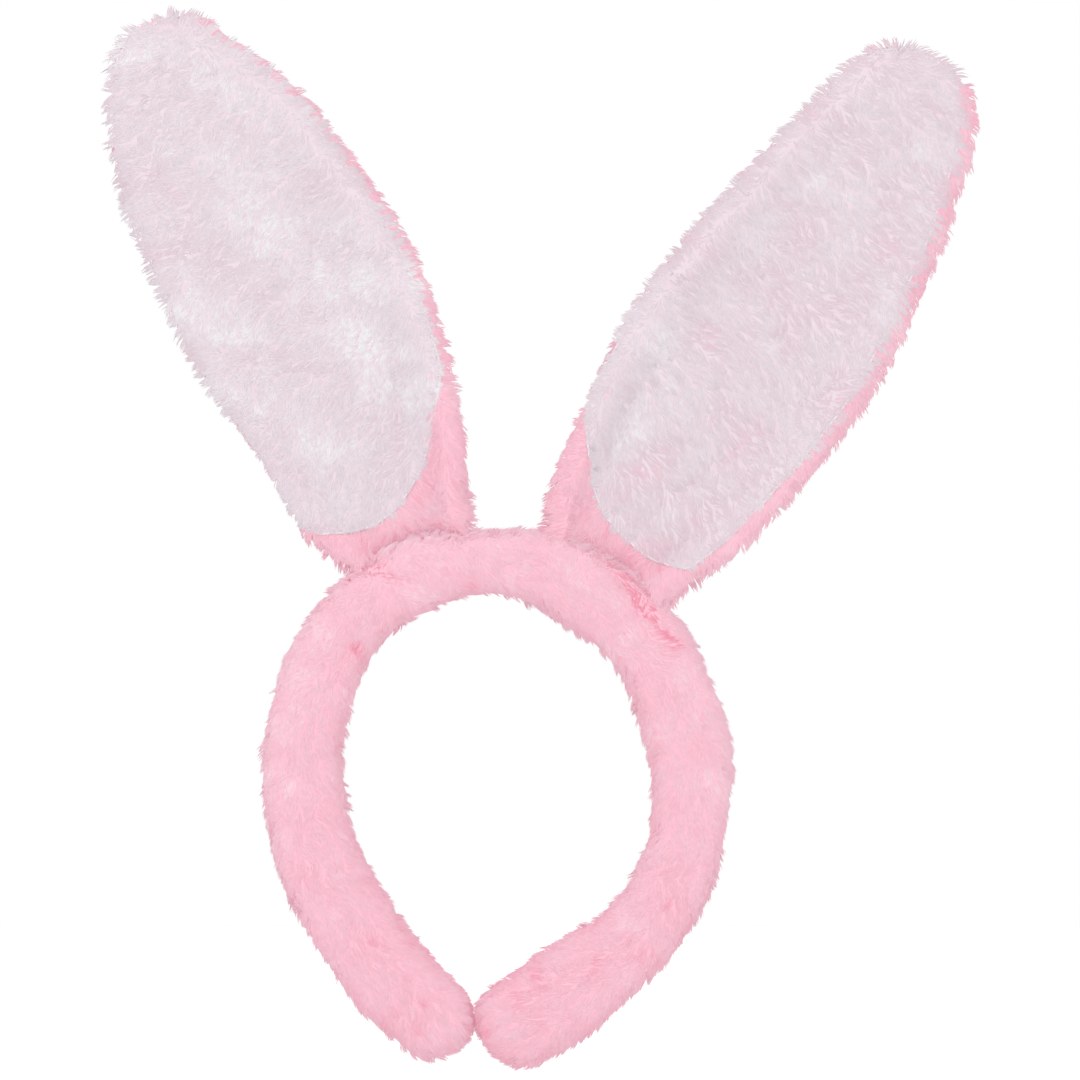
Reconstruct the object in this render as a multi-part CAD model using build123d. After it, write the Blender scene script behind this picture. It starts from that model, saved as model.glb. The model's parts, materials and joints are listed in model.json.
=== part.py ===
from build123d import *
import os
from math import cos, degrees, radians, sin, sqrt

# Bunny-ears headband: a C-shaped padded band in a plush sleeve, with two plush ears on top.
#
# Lengths are in millimetres and angles in degrees.
# X points right, Y points to the back and Z points up. "Left" and "right" are those of a
# person who looks at the front. The origin is the centre of the crown's round inner face,
# in the middle of the band's depth, so the head that wears the band passes along Y there.
# An angle around the band is counted from straight up, and grows down either arm.

# ---- Band: section and route -------------------------------------------------------------
GRIP_RADIUS = 46.0  # the crown's inner face, which sits on the head
BAND_THICKNESS = 25.0  # across the band, in the plane of the hoop, pile included
BAND_DEPTH = 30.0  # front to back, pile included
BAND_CORNER = 8.0
CROWN_HALF_ANGLE = 62.0  # the arms start here, just outside the ears
FLEX_GAP_ANGLE = 0.35  # leaves the arms 0.4 mm clear of the crown
LEFT_ARM_ARCS = [(70.0, 36.0), (100.0, 30.0), (180.0, 10.0)]  # (radius, swept angle)
RIGHT_ARM_ARCS = [(90.0, 38.0), (58.0, 40.0), (226.0, 10.2)]

# ---- Band: layers ------------------------------------------------------------------------
SLEEVE_WALL = 3.5  # backing cloth and pile
LAYER_GAP = 0.1  # between one layer and the next
CORE_THICKNESS = 2.0
CORE_WIDTH = 14.0
CORE_CORNER = 0.6
THREAD_RADIUS = 0.4
THREAD_LIFT = 0.02  # keeps a thread just off the cloth that it lies on

# ---- Ears --------------------------------------------------------------------------------
EAR_THICKNESS = 10.0
EAR_EDGE_ROUND = 3.0
EAR_WALL = 2.5  # each plush panel
EAR_CLEAR = 0.4  # between the ear's rolled base and the sleeve
EAR_TIP_RADIUS = 26.0
FRONT_MARGIN = 3.5  # how far the back panel wraps round to the front, along the sides
FRONT_START = 4.0  # how far it comes up in front, above the pivot
FRONT_BASE_RADIUS = 36.0
FRONT_CORNER = 10.0
PANEL_GAP = 0.1
WIRE_RADIUS = 0.8
WIRE_CORNER = 8.0
WIRE_END_GAP = 0.6
CRIMP_RADIUS = 1.5
CRIMP_LENGTH = 10.0
CRIMP_CLEAR = 0.05
STITCH_LENGTH = 3.2
STITCH_SPACING = 5.5
STITCHES_IN_ROW = 8

# Each ear: the angle where it stands on the band, its length above its base, half its
# width, how high it is widest, and half the width of its base.
EARS = {
    "left_ear": {"angle": -25.0, "length": 179.0, "half_width": 39.5, "widest": 73.0, "base": 23.0},
    "right_ear": {"angle": 31.5, "length": 185.0, "half_width": 40.5, "widest": 72.0, "base": 24.0},
}

# ---- Worked out --------------------------------------------------------------------------
CENTRE_RADIUS = GRIP_RADIUS + BAND_THICKNESS / 2
OUTER_RADIUS = GRIP_RADIUS + BAND_THICKNESS
PIVOT_RADIUS = OUTER_RADIUS + EAR_CLEAR + EAR_THICKNESS / 2
Y_AXIS = Vector(0, 1, 0)


def radial(angle):
    """The direction at this angle from straight up; positive angles lean right."""
    return Vector(sin(radians(angle)), 0, cos(radians(angle)))


# ---- Band --------------------------------------------------------------------------------
def turn(section, centre, radius, angle, side, sweep):
    """Turn a section round one arc of the band, away from the crown's middle."""
    out = radial(side * angle)
    plane = Plane(origin=centre + out * radius, x_dir=out, z_dir=out.cross(Y_AXIS))
    return revolve(plane * section, Axis(centre, Y_AXIS * side), sweep)


def crown(section):
    """The part of the band that lies between the two arms."""
    centre = Vector(0, 0, 0)
    return turn(section, centre, CENTRE_RADIUS, -CROWN_HALF_ANGLE, 1, 2 * CROWN_HALF_ANGLE)


def arm(section, side, arcs, capped=True):
    """One arm: tangent arcs from the crown to a round tip."""
    centre = Vector(0, 0, 0)
    angle = CROWN_HALF_ANGLE
    radius = CENTRE_RADIUS
    solid = None
    for new_radius, sweep in arcs:
        centre += radial(side * angle) * (radius - new_radius)
        radius = new_radius
        gap = FLEX_GAP_ANGLE if solid is None else 0.0
        piece = turn(section, centre, radius, angle + gap, side, sweep - gap)
        solid = piece if solid is None else solid + piece
        angle += sweep
    if capped:
        outer_half = section & (Pos(BAND_THICKNESS, 0) * Rectangle(2 * BAND_THICKNESS, 2 * BAND_DEPTH))
        end = centre + radial(side * angle) * radius
        solid += turn(outer_half, end, 0.0, angle, side, 180)
    return solid


def layer(outset, hole=None):
    """A section of the padded band: the band's own outline grown by outset, less a hole."""
    corner = BAND_CORNER + outset
    outline = RectangleRounded(BAND_THICKNESS + 2 * outset, BAND_DEPTH + 2 * outset, corner)
    return outline - hole if hole else outline


def core_section(outset=0.0):
    return RectangleRounded(CORE_THICKNESS + 2 * outset, CORE_WIDTH + 2 * outset, CORE_CORNER + outset)


def band_parts():
    """The core strip, the foam round it, the plush sleeve, and the sleeve's back seam."""
    seam_depth = BAND_DEPTH / 2 + THREAD_RADIUS + THREAD_LIFT
    sections = {
        "core_strip": (core_section(), True),
        "foam": (layer(-SLEEVE_WALL - LAYER_GAP, hole=core_section(LAYER_GAP)), True),
        "plush_sleeve": (layer(0.0, hole=layer(-SLEEVE_WALL)), True),
        "sleeve_seam": (Pos(0, seam_depth) * Circle(THREAD_RADIUS), False),
    }
    parts = {}
    for name, (section, capped) in sections.items():
        parts[f"crown_{name}"] = crown(section)
        parts[f"left_arm_{name}"] = arm(section, -1, LEFT_ARM_ARCS, capped)
        parts[f"right_arm_{name}"] = arm(section, 1, RIGHT_ARM_ARCS, capped)
    return parts


# ---- Ears --------------------------------------------------------------------------------
def ear_face(ear, inset=0.0, base_corner=0.0):
    """The ear's outline, a rounded leaf drawn with X along its base and Y up its length.

    Each side is two arcs that meet upright where the ear is widest. An inset moves both
    sides and the tip inwards and leaves the base where it is.
    """
    wide, widest = ear["half_width"], ear["widest"]
    flare = wide - ear["base"]
    straight = ear["length"] - EAR_TIP_RADIUS - widest
    lower = (widest**2 + flare**2) / (2 * flare)
    upper = (straight**2 / (wide - EAR_TIP_RADIUS) + EAR_TIP_RADIUS + wide) / 2
    low_corner = Vector(wide - lower + sqrt((lower - inset) ** 2 - widest**2), 0)
    side_point = Vector(wide - inset, widest)
    apex = Vector(0, widest + sqrt((upper - inset) ** 2 - (upper - wide) ** 2))
    right_side = RadiusArc(low_corner, side_point, -(lower - inset))
    right_side += RadiusArc(side_point, apex, -(upper - inset))
    base = Line((-low_corner.X, 0), (low_corner.X, 0))
    face = make_face(right_side.edges() + mirror(right_side, about=Plane.YZ).edges() + base.edges())
    tip = face.vertices().sort_by(Axis.Y)[-1:]
    face = fillet(tip, EAR_TIP_RADIUS - inset)
    if base_corner:
        face = fillet(face.vertices().sort_by(Axis.Y)[:2], base_corner)
    return face


def front_face(ear, inset=0.0):
    """The white front panel's outline: the ear's own, with a round lower end."""
    low_end = Pos(0, FRONT_START + FRONT_BASE_RADIUS) * Circle(FRONT_BASE_RADIUS - inset)
    above = ear["length"]
    rest = Pos(0, FRONT_START + FRONT_BASE_RADIUS + above / 2) * Rectangle(above, above)
    face = ear_face(ear, FRONT_MARGIN + inset) & (low_end + rest)
    return fillet(face.vertices().sort_by(Axis.Y)[:2], FRONT_CORNER - inset)


def rod(radius, half_length):
    """A round bar along X, through the ear's pivot."""
    return Rot(0, 90, 0) * Cylinder(radius, 2 * half_length)


def plate(face, half_thickness):
    return extrude(face, half_thickness, both=True)


def ear_parts(ear):
    """The pieces that turn with one ear, with the pivot at the origin and the front at +Z."""
    half = EAR_THICKNESS / 2
    hollow = half - EAR_WALL

    body = plate(ear_face(ear), half)
    rim = [e for e in body.edges() if abs(abs(e.center().Z) - half) < 0.01 and e.geom_type == GeomType.CIRCLE]
    body = fillet(rim, EAR_EDGE_ROUND) + rod(half, ear["base"])
    pocket = plate(ear_face(ear, EAR_WALL), hollow) + rod(hollow, ear["base"] - EAR_WALL)
    window = extrude(front_face(ear), half)
    back_panel = body - pocket - window

    front_panel = Pos(0, 0, hollow) * extrude(front_face(ear, PANEL_GAP), EAR_WALL)

    wire_inset = EAR_WALL + WIRE_RADIUS + LAYER_GAP
    loop = ear_face(ear, wire_inset, WIRE_CORNER).face().outer_wire()
    wire = sweep(Plane(origin=loop @ 0, z_dir=loop % 0) * Circle(WIRE_RADIUS), path=loop)
    wire -= Box(WIRE_END_GAP, 4 * WIRE_RADIUS, 4 * WIRE_RADIUS)

    crimp = rod(CRIMP_RADIUS, CRIMP_LENGTH / 2) - rod(WIRE_RADIUS + CRIMP_CLEAR, CRIMP_LENGTH)

    pad_face = ear_face(ear, wire_inset + WIRE_RADIUS + LAYER_GAP)
    pad_start = CRIMP_RADIUS + LAYER_GAP
    pad_face &= Pos(0, pad_start + ear["length"] / 2) * Rectangle(ear["length"], ear["length"])
    pad_face = fillet(pad_face.vertices().sort_by(Axis.Y)[:2], WIRE_CORNER)
    padding = plate(pad_face, hollow - LAYER_GAP)

    seam = front_face(ear).face().outer_wire()
    thread = sweep(Plane(origin=seam @ 0, z_dir=seam % 0) * Circle(THREAD_RADIUS), path=seam)
    thread = Pos(0, 0, half + THREAD_RADIUS + THREAD_LIFT) * thread

    return {
        "back_panel": back_panel,
        "front_panel": front_panel,
        "padding": padding,
        "wire_loop": wire,
        "wire_crimp": crimp,
        "edge_seam": thread,
    }


def stitch(length):
    """One short visible length of thread, along Y."""
    ends = [Pos(0, y, 0) * Sphere(THREAD_RADIUS) for y in (-length / 2, length / 2)]
    return Rot(90, 0, 0) * Cylinder(THREAD_RADIUS, length) + ends


def base_stitches(ear):
    """The stitches that hold one ear on the sleeve: a row in front of it and one behind."""
    height = OUTER_RADIUS + THREAD_RADIUS + THREAD_LIFT
    row_depth = EAR_THICKNESS / 2 + STITCH_LENGTH / 2
    step = degrees(STITCH_SPACING / OUTER_RADIUS)
    stitches = []
    for row in (-row_depth, row_depth):
        for i in range(STITCHES_IN_ROW):
            angle = ear["angle"] + (i - (STITCHES_IN_ROW - 1) / 2) * step
            place = radial(angle) * height
            stitches.append(Pos(place.X, row, place.Z) * Rot(0, angle, 0) * stitch(STITCH_LENGTH))
    return Compound(children=stitches)


# ---- Whole headband ----------------------------------------------------------------------
def all_parts():
    parts = band_parts()
    for name, ear in EARS.items():
        up = radial(ear["angle"])
        pivot = Plane(origin=up * PIVOT_RADIUS, x_dir=Y_AXIS.cross(up), z_dir=-Y_AXIS)
        for piece, solid in ear_parts(ear).items():
            parts[f"{name}_{piece}"] = pivot.location * solid
        parts[f"{name}_base_stitches"] = base_stitches(ear)
    return parts


os.makedirs("parts", exist_ok=True)
for node, solid in all_parts().items():
    export_step(solid, f"parts/{node}.step")
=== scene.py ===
import json
import math

import bmesh
import bpy
import numpy as np
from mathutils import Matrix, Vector
from mathutils.bvhtree import BVHTree
from mathutils.kdtree import KDTree


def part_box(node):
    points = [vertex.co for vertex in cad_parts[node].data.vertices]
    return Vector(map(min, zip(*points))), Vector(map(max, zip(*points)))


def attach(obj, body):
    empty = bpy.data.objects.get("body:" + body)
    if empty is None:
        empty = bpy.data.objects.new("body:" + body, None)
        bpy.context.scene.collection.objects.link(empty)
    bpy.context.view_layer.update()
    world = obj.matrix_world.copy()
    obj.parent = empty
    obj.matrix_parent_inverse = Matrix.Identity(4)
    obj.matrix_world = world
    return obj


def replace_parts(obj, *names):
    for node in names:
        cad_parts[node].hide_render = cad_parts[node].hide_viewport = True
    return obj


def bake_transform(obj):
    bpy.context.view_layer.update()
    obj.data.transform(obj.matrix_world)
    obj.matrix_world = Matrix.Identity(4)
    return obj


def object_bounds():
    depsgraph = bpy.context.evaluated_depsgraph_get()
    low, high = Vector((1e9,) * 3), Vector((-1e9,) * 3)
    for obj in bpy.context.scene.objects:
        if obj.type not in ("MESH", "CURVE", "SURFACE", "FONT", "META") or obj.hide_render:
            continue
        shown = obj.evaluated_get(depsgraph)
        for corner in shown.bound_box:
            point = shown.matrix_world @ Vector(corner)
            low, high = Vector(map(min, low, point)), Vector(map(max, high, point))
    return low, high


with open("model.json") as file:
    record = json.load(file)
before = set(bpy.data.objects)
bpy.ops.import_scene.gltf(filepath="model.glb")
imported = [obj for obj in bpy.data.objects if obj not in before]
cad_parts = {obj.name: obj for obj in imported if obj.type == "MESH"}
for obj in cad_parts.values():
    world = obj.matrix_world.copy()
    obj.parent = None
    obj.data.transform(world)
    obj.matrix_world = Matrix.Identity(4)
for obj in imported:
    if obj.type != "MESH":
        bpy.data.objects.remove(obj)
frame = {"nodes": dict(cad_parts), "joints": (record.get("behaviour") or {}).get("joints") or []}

# The looks of the bunny-ears headband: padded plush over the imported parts, with its pile as
# real tufts, in a plain pale studio.
#
# Blender's lengths are metres in the row frame: X right, Y back, Z up, with the origin at the
# centre of the crown's inner face. The lengths and angles below are millimetres and degrees
# unless they say otherwise, and MM turns them into metres. An angle round the band counts from
# straight up and grows to the right. "Left" and "right" are those of a person who looks at the
# front.

MM = 0.001
cad_low, cad_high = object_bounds()
SCENE = bpy.context.scene

# ---- Values: cloth ----
PILE_RISE = 2.4  # how far the pile stands out from its backing cloth
BAND_VOXEL = 2.4
EAR_VOXEL = 2.4
WADDING_VOXEL = 1.6
SMOOTH_ROUNDS = 6
CLOTH_FRAMES = 20
CLOTH_QUALITY = 6
CLOTH_MASS = 0.3
CLOTH_BENDING = 0.3
CLOTH_PRESSURE = 4.0
BAND_SWELL = 2.2  # the most that the simulation may move a point
EAR_SWELL = 2.6
BAND_INSET = 0.8  # the band starts this much smaller, because it swells
FOAM_INSET = 1.2  # from the cloth to the foam under it
PANEL_LIFT = 0.4  # the front panel lies on the ear's padded body
PANEL_THICKNESS = 0.9
PANEL_ROWS, PANEL_COLUMNS = 96, 40
PANEL_MARGIN = 0.6  # the panel ends this far inside the ear's edge, pink pile this far under it
THREAD_RADIUS = 0.4
WADDING_SHRINK = (0.9, 0.97, 0.5)  # keeps the bent wadding and wire inside the ear's cloth
WIRE_SHRINK = (0.88, 0.97, 1.0)
WIRE_EDGE = 3.0  # the longest edge in the wire before it bends
FOLD_FACING = 1.5  # how soon folds fade out where the cloth turns away from the front

# ---- Values: band ----
BAND_HALF = 12.5
SPLIT_ANGLE = 50.0  # crown and arm cloth meet here, just inside the flex lines
FIT_ANGLES = np.arange(-170, 171, 4)  # where the band's thickness is measured
FIT_REACH = 3  # degrees to each side of those
BAND_UNEVENNESS = 0.35
PARTING_ANGLE = -38.0  # the pile lies to both sides from here
# How far the pile's outline stands outside the plain band, on its outer and inner side.
OUTER_FULLNESS = [
    (-168, 1.4), (-158, 2.9), (-148, 1.3), (-138, 0.7), (-120, 0.5), (-90, -0.9), (-75, -1.6),
    (-60, -1.0), (-22, -0.8), (-8, -3.0), (8, -3.0), (18, -0.8), (50, -0.1), (70, 0.6),
    (90, 1.7), (110, -0.2), (135, -0.8), (150, 0.3), (164, 2.6), (172, 2.0),
]
INNER_FULLNESS = [
    (-168, -0.4), (-158, 0.8), (-148, 1.3), (-138, 1.6), (-120, 0.7), (-90, 0.1), (-50, -0.2),
    (-24, -1.1), (0, -1.7), (15, -0.4), (30, 1.8), (42, 1.5), (55, 0.2), (90, -0.5),
    (110, -0.8), (135, -0.3), (150, 1.6), (164, 3.0), (172, 2.8),
]
# Folds in the band's front: two ends (x, z), depth and half-width.
BAND_FOLDS = [
    ((31.0, 66.0), (57.0, 31.0), 2.6, 3.0),
    ((-45.0, 56.8), (-28.5, 53.2), 1.8, 2.2),
    ((-44.5, 29.9), (-40.0, 33.5), 1.6, 2.6),
    ((-17.0, 42.5), (-13.5, 43.0), 1.6, 2.4),
    ((-10.0, 50.5), (-6.5, 50.0), 1.0, 2.0),
]

# ---- Values: ears ----
# Each ear's outline, pile included, and the white panel's sides as (height, left, right), folds
# in the front as two ends (x, height), depth and half-width, how much pink pile shows at least
# on the panel's right, and how light the white is, from 0 to 1.
EAR_SHAPES = {
    "left": {
        "outline": [
            (-8, -18.0, 25.0), (0, -22.0, 27.2), (8, -26.4, 31.2), (20, -28.8, 36.0),
            (40, -30.8, 41.0), (60, -33.2, 43.6), (75, -35.6, 44.3), (100, -35.6, 41.4),
            (130, -34.0, 35.2), (150, -28.4, 26.8), (170, -21.5, 12.8),
        ],
        "panel": [
            (2, -5.0, -3.0), (3.5, -14.0, 4.0), (7, -21.0, 10.5), (12, -25.0, 17.0),
            (21, -29.0, 25.5), (35, -32.0, 34.0), (48, -36.0, 40.5), (57, -40.0, 42.0),
            (75, -40.0, 42.0), (100, -40.0, 38.4), (130, -40.0, 31.6), (150, -40.0, 24.5),
            (175, -40.0, 14.0),
        ],
        "folds": [((28.0, 55.0), (10.6, 10.7), 1.3, 3.2), ((-20.0, 30.0), (-12.0, 12.0), 0.6, 3.0)],
        "fringe": 1.6,
        "whiteness": 0.6,
    },
    "right": {
        "outline": [
            (-8, -22.0, 25.5), (0, -26.6, 28.0), (20, -30.6, 37.0), (40, -35.0, 41.5),
            (60, -35.2, 43.7), (75, -34.6, 45.2), (100, -31.0, 44.4), (130, -25.0, 40.4),
            (150, -20.6, 36.0), (170, -16.8, 30.5), (180, -10.0, 21.0),
        ],
        "panel": [
            (0, 9.0, 13.0), (1.5, 0.0, 20.5), (4, -7.5, 24.5), (8, -13.0, 28.0),
            (14, -19.5, 31.0), (22, -25.0, 34.0), (35, -32.0, 36.5), (48, -38.0, 38.5),
            (75, -40.0, 41.5), (100, -40.0, 39.8), (130, -40.0, 35.0), (150, -40.0, 30.5),
            (170, -40.0, 24.5), (182, -40.0, 12.0),
        ],
        "folds": [((-20.8, 38.0), (-14.7, 16.0), 1.0, 2.6), ((18.7, 55.0), (2.9, 8.5), 1.3, 3.2)],
        "fringe": 3.4,
        "whiteness": 0.47,
    },
}
# To what angle each ear's sides curl forward, as (height, outer side, inner side).
CURL = [(-5, 40, 70), (20, 58, 105), (45, 48, 78), (75, 38, 52), (120, 28, 34), (180, 12, 14)]
FLAT_SHARE = 0.3  # of each ear's half-width, before its sides curl
CURL_STEPS = 24
BACKWARD_BOW = 5.0  # how far an ear's tip leans back
BOW_HEIGHT = 180.0
BASE_DROP = 6.0  # sinks an ear's base into the band's pile
BASE_REACH = 24.0
BASE_HALF = 27.0  # the base follows the band's curve this far to each side
BASE_TUCK = 0.8  # what is curled forward drops this much more, over the band's round edge
TUCK_START = 4.0  # measured forward

# ---- Values: pile ----
TUFTS_PER_MM2 = 1.5
MOST_TUFTS = 19900  # on one piece
TUFT_LENGTH = 4.6
TUFT_RADIUS = 0.27
LOCK_TUFTS = 7  # tufts that lean together
WISP_TUFTS = 50  # tufts that share a drift and a tint
NORMAL_BLEND = 0.55  # how far a tuft is shaded as the cloth under it
LEAST_FACING = 0.45  # how much of a shading normal points out of its own triangle at least
LOCK_PULL = 0.45  # how far each tip is drawn to the tip in the middle of its lock
WISP_SWING, LOCK_SWING, TUFT_SWING = 0.25, 0.25, 0.12  # how far each turns aside, in radians
WISP_SHADE, LOCK_SHADE, TUFT_SHADE = 0.07, 0.05, 0.03  # how much each differs in tint
LEAN, LOCK_LEAN, TUFT_LEAN = 0.5, 0.14, 0.05  # how upright tufts stand, and how that differs
LEAN_LIMITS = (0.2, 0.9)
LENGTH_SPREAD = (0.85, 1.15)
WIDTH_SPREAD = (0.8, 1.25)
ARCH = 0.16  # how far a tuft's middle stands out, as a share of its length
FLATNESS = 0.7  # of a tuft's section
ROOT_WIDTH = 0.9  # as a share of its middle's width
ROOT_DEPTH = 0.2  # how far its root reaches into the cloth
BAND_FOLD_SHADE, EAR_FOLD_SHADE = 340.0, 200.0  # painted shade in the folds: darker tint for each metre of a fold's depth
BAND_FOLD_TRIM, EAR_FOLD_TRIM = 120.0, 100.0  # shorter pile, likewise
BAND_PILE_SEED = 100
EAR_SEEDS = {"left": 300, "right": 400}
DARKER_FROM, DARKER_OVER = 95.0, 45.0  # angles past which the arms' pile gets deeper pink
SEAM_PARTING = 2.2  # half the width of the shorter pile along the seam

# In both tables, root is painted shade: the colour that each tuft darkens to towards its root, deep
# in the pile.
PINK = {
    "deep": (233, 146, 166),
    "low": (237, 180, 196),
    "middle": (237, 190, 204),
    "high": (243, 205, 216),
    "root": (236, 180, 196),
    "cloth": (237, 183, 198),
}
WHITE = {
    "deep": (226, 194, 205),
    "low": (217, 198, 207),
    "middle": (220, 208, 215),
    "high": (231, 227, 230),
    "root": (220, 204, 211),
    "cloth": (222, 206, 213),
}


# ---- Numbers and meshes ----
def knots(table, column=1):
    """A function that runs straight from one row of a table to the next."""
    places = [row[0] for row in table]
    values = [row[column] for row in table]
    return lambda at: np.interp(at, places, values)


def smoothstep(t):
    t = np.clip(t, 0.0, 1.0)
    return t * t * (3.0 - 2.0 * t)


def unit(vectors):
    return vectors / np.maximum(np.linalg.norm(vectors, axis=-1, keepdims=True), 1e-9)


def dot(a, b):
    return np.sum(a * b, axis=-1)


def ripple(seed, size):
    """A smooth random field over space, mostly from -1 to 1, with patches of about this size."""
    waves = 10
    rng = np.random.default_rng(seed)
    ways = unit(rng.normal(size=(waves, 3))) * rng.uniform(0.6, 1.5, (waves, 1))
    ways *= 2 * math.pi / (2.0 * size * MM)
    shifts = rng.uniform(0, 2 * math.pi, waves)
    return lambda points: np.cos(points @ ways.T + shifts).sum(axis=1) * math.sqrt(1.0 / waves)


def rows_of_three(items, key):
    flat = np.empty(len(items) * 3, np.float32)
    items.foreach_get(key, flat)
    return flat.reshape(-1, 3).astype(float)


def coords(mesh):
    return rows_of_three(mesh.vertices, "co")


def normals(mesh):
    return rows_of_three(mesh.vertex_normals, "vector")


def set_coords(mesh, points):
    mesh.vertices.foreach_set("co", points.astype(np.float32).ravel())
    mesh.update()


def new_object(name, mesh):
    obj = bpy.data.objects.new(name, mesh)
    SCENE.collection.objects.link(obj)
    return obj


def bake_modifiers(obj):
    """Replaces an object's mesh by what its modifiers make of it."""
    depsgraph = bpy.context.evaluated_depsgraph_get()
    mesh = bpy.data.meshes.new_from_object(obj.evaluated_get(depsgraph))
    obj.modifiers.clear()
    obj.data = mesh


def remeshed(name, nodes, voxel):
    """One closed skin, of even small faces, round copies of these CAD nodes."""
    bm = bmesh.new()
    for node in nodes:
        bm.from_mesh(frame["nodes"][node].data)
    mesh = bpy.data.meshes.new(name)
    bm.to_mesh(mesh)
    bm.free()
    obj = new_object(name, mesh)
    remesh = obj.modifiers.new("skin", "REMESH")
    remesh.mode = "VOXEL"
    remesh.voxel_size = voxel * MM
    smooth = obj.modifiers.new("soften", "SMOOTH")
    smooth.factor = 0.5
    smooth.iterations = SMOOTH_ROUNDS
    bake_modifiers(obj)
    obj.data.materials.clear()
    return obj


def puff(obj, limit):
    """Lets a closed form swell as stuffed cloth does, and limits how far a point moves."""
    start = coords(obj.data)
    cloth = obj.modifiers.new("puff", "CLOTH")
    settings = cloth.settings
    settings.quality = CLOTH_QUALITY
    settings.mass = CLOTH_MASS
    settings.use_pressure = True
    settings.uniform_pressure_force = CLOTH_PRESSURE
    settings.effector_weights.gravity = 0.0
    settings.bending_stiffness = CLOTH_BENDING
    cloth.collision_settings.use_collision = False
    cloth.point_cache.frame_start = 1
    cloth.point_cache.frame_end = CLOTH_FRAMES
    for step in range(1, CLOTH_FRAMES + 1):
        SCENE.frame_set(step)
    bake_modifiers(obj)
    SCENE.frame_set(1)
    move = coords(obj.data) - start
    far = np.linalg.norm(move, axis=1, keepdims=True)
    set_coords(obj.data, start + move * (limit * MM / np.maximum(far, limit * MM)))


def subdivide(obj):
    obj.modifiers.new("finer", "SUBSURF").levels = 1
    bake_modifiers(obj)


def groove(points, plane, folds, front):
    """How deep the folds are at each point, in metres.

    plane holds the points' two flat coordinates in millimetres, and front is how much each
    point faces forward, from 0 to 1.
    """
    depth = np.zeros(len(points))
    for start, end, deep, half in folds:
        a, b = np.array(start), np.array(end)
        along = np.clip(((plane - a) @ (b - a)) / dot(b - a, b - a), 0.0, 1.0)
        away = np.linalg.norm(plane - a - along[:, None] * (b - a), axis=1)
        ends = 0.35 + 0.65 * np.sin(math.pi * np.clip(along, 0.02, 0.98))
        depth += deep * MM * ends * np.exp(-((away / half) ** 2))
    return depth * front


# ---- Materials ----
def linear(rgb):
    """An sRGB colour of 0 to 255 as Blender's linear colour."""
    parts = [c / 255 for c in rgb]
    return [c / 12.92 if c <= 0.04045 else ((c + 0.055) / 1.055) ** 2.4 for c in parts] + [1.0]


class Shader:
    """A node material with one Principled shader, and short calls to add nodes to it."""

    def __init__(self, name, **sockets):
        self.material = bpy.data.materials.new(name)
        self.material.use_nodes = True
        self.tree = self.material.node_tree
        self.principled = self.tree.nodes["Principled BSDF"]
        for socket, value in sockets.items():
            self.principled.inputs[socket.replace("_", " ")].default_value = value

    def add(self, kind, inputs=None, **settings):
        node = self.tree.nodes.new(kind)
        for key, value in settings.items():
            setattr(node, key, value)
        for socket, value in (inputs or {}).items():
            if isinstance(value, bpy.types.NodeSocket):
                self.tree.links.new(value, node.inputs[socket])
            else:
                node.inputs[socket].default_value = value
        return node

    def link(self, output, socket):
        self.tree.links.new(output, self.principled.inputs[socket])

    def ramp(self, factor, stops):
        node = self.add("ShaderNodeValToRGB", {"Fac": factor})
        elements = node.color_ramp.elements
        while len(elements) < len(stops):
            elements.new(0.5)
        for element, (place, colour) in zip(elements, stops):
            element.position = place
            element.color = linear(colour)
        return node.outputs["Color"]

    def mix(self, factor, a, b):
        node = self.add("ShaderNodeMix", data_type="RGBA")
        for socket, value in zip((node.inputs[0], node.inputs[6], node.inputs[7]), (factor, a, b)):
            if isinstance(value, bpy.types.NodeSocket):
                self.tree.links.new(value, socket)
            else:
                socket.default_value = value
        return node.outputs[2]

    def noise(self, scale):
        place = self.add("ShaderNodeTexCoord").outputs["Object"]
        inputs = {"Vector": place, "Scale": scale, "Detail": 3.0}
        return self.add("ShaderNodeTexNoise", inputs).outputs["Fac"]

    def bump(self, height, strength, distance):
        inputs = {"Height": height, "Strength": strength, "Distance": distance}
        self.link(self.add("ShaderNodeBump", inputs).outputs["Normal"], "Normal")


def pile_material(name, colours):
    """Pile: a tuft's own tint comes from U of its map, and it goes from root to tip along V, with
    painted shade towards the root.
    """
    shader = Shader(
        name, Roughness=0.85, Specular_IOR_Level=0.1, Sheen_Weight=0.1, Sheen_Roughness=0.5
    )
    shader.principled.inputs["Sheen Tint"].default_value = linear(colours["high"])
    place = shader.add("ShaderNodeUVMap", uv_map="OFBake").outputs["UV"]
    parts = shader.add("ShaderNodeSeparateXYZ", {"Vector": place}).outputs
    stops = {"deep": 0.0, "low": 0.28, "middle": 0.65, "high": 1.0}
    tint = shader.ramp(parts["X"], [(stop, colours[key]) for key, stop in stops.items()])
    # Painted shade: the lower half of each tuft blends towards the darker root colour.
    inputs = {"Value": parts["Y"], "From Min": 0.0, "From Max": 0.55}
    height = shader.add("ShaderNodeMapRange", inputs).outputs["Result"]
    shader.link(shader.mix(height, linear(colours["root"]), tint), "Base Color")
    return shader.material


def cloth_material(name, colours):
    """The knitted backing under the pile."""
    shader = Shader(name, Roughness=0.9, Sheen_Weight=0.3)
    stops = [(0.35, colours["cloth"]), (0.7, colours["low"])]
    shader.link(shader.ramp(shader.noise(90.0), stops), "Base Color")
    place = shader.add("ShaderNodeTexCoord").outputs["Object"]
    knit = shader.add("ShaderNodeTexVoronoi", {"Vector": place, "Scale": 900.0}).outputs["Distance"]
    shader.bump(knit, 0.5, 0.0004)
    return shader.material


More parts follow.
